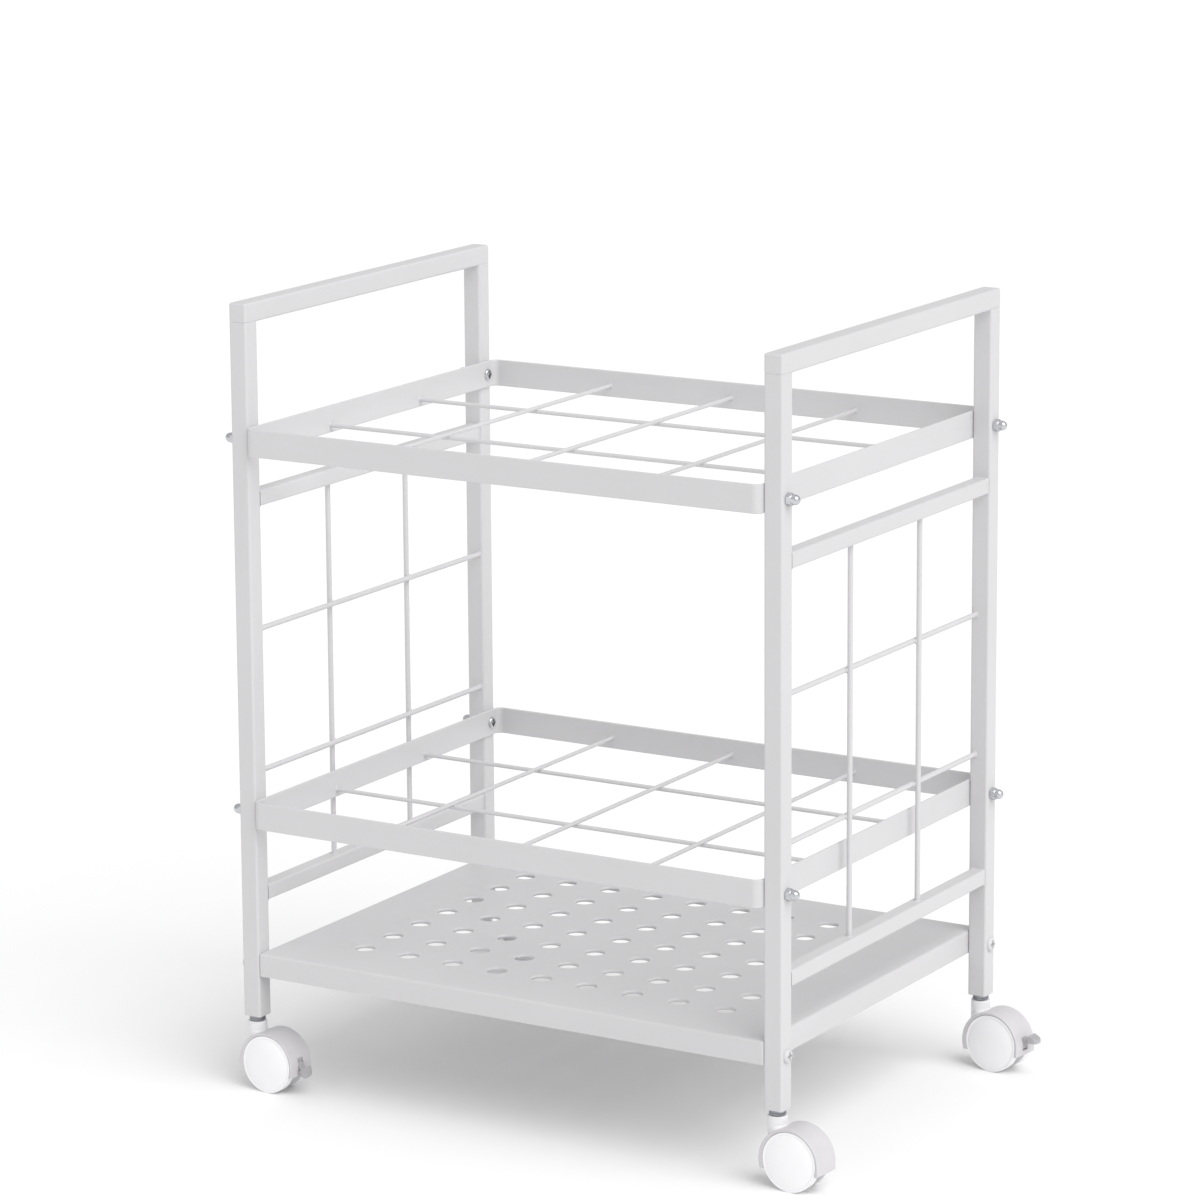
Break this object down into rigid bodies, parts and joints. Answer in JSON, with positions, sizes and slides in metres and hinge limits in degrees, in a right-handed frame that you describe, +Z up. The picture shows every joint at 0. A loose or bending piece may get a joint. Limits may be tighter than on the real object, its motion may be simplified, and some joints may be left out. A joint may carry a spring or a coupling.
{
  "type": "blueprint storage cart",
  "caption": "Open white steel cart that stores rolled drawings upright between wire dividers over a punched shelf, on swivel casters with brake levers.",
  "frame": {"origin": "on the floor, in the middle of the cart's bounding box, with the casters as they stand", "axes": "+X to the cart's right, along its width; +Y to its rear; +Z up"},
  "size_m": [0.5216, 0.3502, 0.6025],
  "materials": {
    "powder_coat": "satin white powder coat",
    "zinc_plate": "bright zinc plate",
    "white_plastic": "smooth white moulded plastic"
  },
  "bodies": {
    "frame": {"leg_front_left": "powder_coat", "leg_rear_left": "powder_coat", "top_bar_left": "powder_coat", "middle_bar_left": "powder_coat", "low_bar_left": "powder_coat", "side_grille_left": "powder_coat", "leg_front_right": "powder_coat", "leg_rear_right": "powder_coat", "top_bar_right": "powder_coat", "middle_bar_right": "powder_coat", "low_bar_right": "powder_coat", "side_grille_right": "powder_coat", "upper_band": "powder_coat", "upper_divider_wires": "powder_coat", "lower_band": "powder_coat", "lower_divider_wires": "powder_coat", "shelf": "powder_coat", "upper_bolt_front_left": "zinc_plate", "upper_cap_nut_front_left": "zinc_plate", "lower_bolt_front_left": "zinc_plate", "lower_cap_nut_front_left": "zinc_plate", "shelf_screw_front_left": "powder_coat", "caster_stem_front_left": "zinc_plate", "upper_bolt_rear_left": "zinc_plate", "upper_cap_nut_rear_left": "zinc_plate", "lower_bolt_rear_left": "zinc_plate", "lower_cap_nut_rear_left": "zinc_plate", "shelf_screw_rear_left": "powder_coat", "caster_stem_rear_left": "zinc_plate", "upper_bolt_front_right": "zinc_plate", "upper_cap_nut_front_right": "zinc_plate", "lower_bolt_front_right": "zinc_plate", "lower_cap_nut_front_right": "zinc_plate", "shelf_screw_front_right": "powder_coat", "caster_stem_front_right": "zinc_plate", "upper_bolt_rear_right": "zinc_plate", "upper_cap_nut_rear_right": "zinc_plate", "lower_bolt_rear_right": "zinc_plate", "lower_cap_nut_rear_right": "zinc_plate", "shelf_screw_rear_right": "powder_coat", "caster_stem_rear_right": "zinc_plate"},
    "caster_front_left": {"caster_housing_front_left": "white_plastic", "caster_axle_front_left": "zinc_plate"},
    "wheel_a_front_left": {"caster_wheel_a_front_left": "white_plastic"},
    "wheel_b_front_left": {"caster_wheel_b_front_left": "white_plastic"},
    "brake_front_left": {"brake_lever_front_left": "white_plastic"},
    "caster_rear_left": {"caster_housing_rear_left": "white_plastic", "caster_axle_rear_left": "zinc_plate"},
    "wheel_a_rear_left": {"caster_wheel_a_rear_left": "white_plastic"},
    "wheel_b_rear_left": {"caster_wheel_b_rear_left": "white_plastic"},
    "caster_front_right": {"caster_housing_front_right": "white_plastic", "caster_axle_front_right": "zinc_plate"},
    "wheel_a_front_right": {"caster_wheel_a_front_right": "white_plastic"},
    "wheel_b_front_right": {"caster_wheel_b_front_right": "white_plastic"},
    "caster_rear_right": {"caster_housing_rear_right": "white_plastic", "caster_axle_rear_right": "zinc_plate"},
    "wheel_a_rear_right": {"caster_wheel_a_rear_right": "white_plastic"},
    "wheel_b_rear_right": {"caster_wheel_b_rear_right": "white_plastic"},
    "brake_rear_right": {"brake_lever_rear_right": "white_plastic"}
  },
  "joints": [
    {"name": "swivel_front_left", "type": "hinge", "parent": "frame", "child": "caster_front_left", "pos_m": [-0.24353, -0.15869, 0.056], "axis": [0, 0, 1], "continuous": true},
    {"name": "roll_a_front_left", "type": "hinge", "parent": "caster_front_left", "child": "wheel_a_front_left", "pos_m": [-0.22627, -0.1599, 0.0221], "axis": [0.0698, 0.9976, 0], "continuous": true},
    {"name": "roll_b_front_left", "type": "hinge", "parent": "caster_front_left", "child": "wheel_b_front_left", "pos_m": [-0.22627, -0.1599, 0.0221], "axis": [0.0698, 0.9976, 0], "continuous": true},
    {"name": "brake_front_left", "type": "hinge", "parent": "caster_front_left", "child": "brake_front_left", "pos_m": [-0.20682, -0.16126, 0.0271], "axis": [0.0698, 0.9976, 0], "range_deg": [-50, 0]},
    {"name": "swivel_rear_left", "type": "hinge", "parent": "frame", "child": "caster_rear_left", "pos_m": [-0.24353, 0.16131, 0.056], "axis": [0, 0, 1], "continuous": true},
    {"name": "roll_a_rear_left", "type": "hinge", "parent": "caster_rear_left", "child": "wheel_a_rear_left", "pos_m": [-0.22629, 0.1598, 0.0221], "axis": [0.0872, 0.9962, 0], "continuous": true},
    {"name": "roll_b_rear_left", "type": "hinge", "parent": "caster_rear_left", "child": "wheel_b_rear_left", "pos_m": [-0.22629, 0.1598, 0.0221], "axis": [0.0872, 0.9962, 0], "continuous": true},
    {"name": "swivel_front_right", "type": "hinge", "parent": "frame", "child": "caster_front_right", "pos_m": [0.20747, -0.15869, 0.056], "axis": [0, 0, 1], "continuous": true},
    {"name": "roll_a_front_right", "type": "hinge", "parent": "caster_front_right", "child": "wheel_a_front_right", "pos_m": [0.22473, -0.1599, 0.0221], "axis": [0.0698, 0.9976, 0], "continuous": true},
    {"name": "roll_b_front_right", "type": "hinge", "parent": "caster_front_right", "child": "wheel_b_front_right", "pos_m": [0.22473, -0.1599, 0.0221], "axis": [0.0698, 0.9976, 0], "continuous": true},
    {"name": "swivel_rear_right", "type": "hinge", "parent": "frame", "child": "caster_rear_right", "pos_m": [0.20747, 0.16131, 0.056], "axis": [0, 0, 1], "continuous": true},
    {"name": "roll_a_rear_right", "type": "hinge", "parent": "caster_rear_right", "child": "wheel_a_rear_right", "pos_m": [0.22464, 0.1592, 0.0221], "axis": [0.1219, 0.9925, 0], "continuous": true},
    {"name": "roll_b_rear_right", "type": "hinge", "parent": "caster_rear_right", "child": "wheel_b_rear_right", "pos_m": [0.22464, 0.1592, 0.0221], "axis": [0.1219, 0.9925, 0], "continuous": true},
    {"name": "brake_rear_right", "type": "hinge", "parent": "caster_rear_right", "child": "brake_rear_right", "pos_m": [0.244, 0.15682, 0.0271], "axis": [0.1219, 0.9925, 0], "range_deg": [0, 50]}
  ]
}
